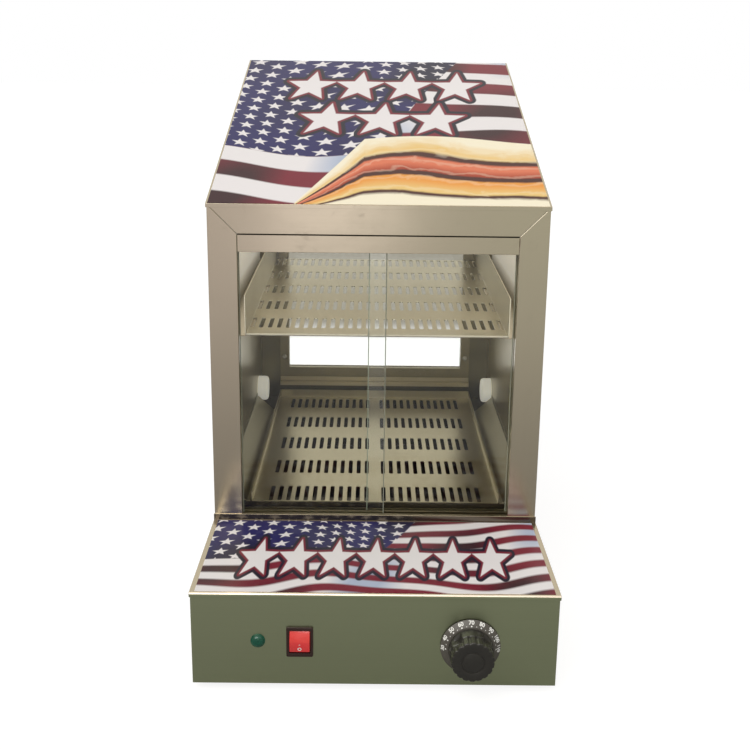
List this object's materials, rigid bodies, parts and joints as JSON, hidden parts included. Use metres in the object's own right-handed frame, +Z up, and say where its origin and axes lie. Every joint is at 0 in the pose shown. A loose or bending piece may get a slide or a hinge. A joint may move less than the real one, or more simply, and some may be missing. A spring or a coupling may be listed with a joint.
{
  "type": "hot dog steamer",
  "caption": "Countertop hot dog steamer: steel cabinet with sloping printed top, sliding glass doors, perforated shelf and tray over a water pan, and a low control box in front.",
  "frame": {"origin": "on the counter, at the middle of the whole outline seen from above", "axes": "+X to the right seen from the front, +Y to the back, +Z up"},
  "size_m": [0.3532, 0.6612, 0.5923],
  "materials": {
    "stainless_steel": "satin, lightly brushed",
    "printed_film": "glossy printed film",
    "glass": "clear, slightly green at the edges",
    "black_rubber": "matt",
    "bright_screws": "bright zinc",
    "white_plastic": "glossy white",
    "element_sheath": "dull, heat tinted",
    "copper_tube": "satin copper",
    "black_plastic": "fine grained",
    "knob_plastic": "glossy, with white numbers",
    "red_plastic": "glossy, translucent red",
    "green_lens": "clear dark green",
    "valve_brass": "machined brass",
    "lever_paint": "glossy red enamel"
  },
  "bodies": {
    "cabinet": {"base_tray": "stainless_steel", "side_panel_left": "stainless_steel", "side_panel_right": "stainless_steel", "back_panel": "stainless_steel", "top_panel": "stainless_steel", "bezel_top_rail": "stainless_steel", "bezel_stile_left": "stainless_steel", "bezel_stile_right": "stainless_steel", "header_track": "stainless_steel", "sill_track": "stainless_steel", "control_top": "stainless_steel", "control_front": "stainless_steel", "partition": "stainless_steel", "inner_wall_left": "stainless_steel", "inner_wall_right": "stainless_steel", "inner_back": "stainless_steel", "ceiling_liner": "stainless_steel", "rear_window_frame": "stainless_steel", "rear_ledge": "stainless_steel", "water_pan": "stainless_steel", "drip_guide_left": "stainless_steel", "drip_guide_right": "stainless_steel", "shelf_rail_left": "stainless_steel", "shelf_rail_right": "stainless_steel", "top_print": "printed_film", "control_print": "printed_film", "rear_window_glass": "glass", "rear_window_gasket": "black_rubber", "feet": "black_rubber", "rear_window_screws": "bright_screws", "foot_screws": "bright_screws", "thermostat_screws": "bright_screws", "casing_screws": "bright_screws", "element_nuts": "bright_screws", "wall_caps": "white_plastic", "heating_element": "element_sheath", "thermostat_body": "black_plastic", "thermostat_bulb": "copper_tube", "terminal_block": "white_plastic", "switch_housing": "black_plastic", "pilot_lens": "green_lens", "pilot_body": "black_plastic", "cord_gland": "black_plastic", "drain_pipe": "stainless_steel", "drain_valve": "valve_brass"},
    "door_left": {"door_left": "glass"},
    "door_right": {"door_right": "glass"},
    "shelf": {"shelf": "stainless_steel"},
    "tray": {"tray": "stainless_steel"},
    "knob": {"knob_dial": "knob_plastic", "knob_grip": "knob_plastic", "thermostat_shaft": "bright_screws"},
    "rocker": {"rocker": "red_plastic"},
    "drain_lever": {"drain_lever": "lever_paint"}
  },
  "joints": [
    {"name": "left_door_slide", "type": "slide", "parent": "cabinet", "child": "door_left", "axis": [1, 0, 0], "range_m": [0, 0.135]},
    {"name": "right_door_slide", "type": "slide", "parent": "cabinet", "child": "door_right", "axis": [1, 0, 0], "range_m": [-0.135, 0]},
    {"name": "shelf_lift", "type": "slide", "parent": "cabinet", "child": "shelf", "axis": [0, 0, 1], "range_m": [0, 0.03]},
    {"name": "tray_lift", "type": "slide", "parent": "cabinet", "child": "tray", "axis": [0, 0, 1], "range_m": [0, 0.06]},
    {"name": "knob_turn", "type": "hinge", "parent": "cabinet", "child": "knob", "pos_m": [0.0915, -0.3014, 0.05], "axis": [0, -1, 0], "range_deg": [-90, 90]},
    {"name": "rocker_tilt", "type": "hinge", "parent": "cabinet", "child": "rocker", "pos_m": [-0.0715, -0.2964, 0.0535], "axis": [1, 0, 0], "range_deg": [0, 16]},
    {"name": "drain_turn", "type": "hinge", "parent": "cabinet", "child": "drain_lever", "pos_m": [0.112, 0.3106, 0.041], "axis": [0, 0, 1], "range_deg": [-90, 0]}
  ]
}
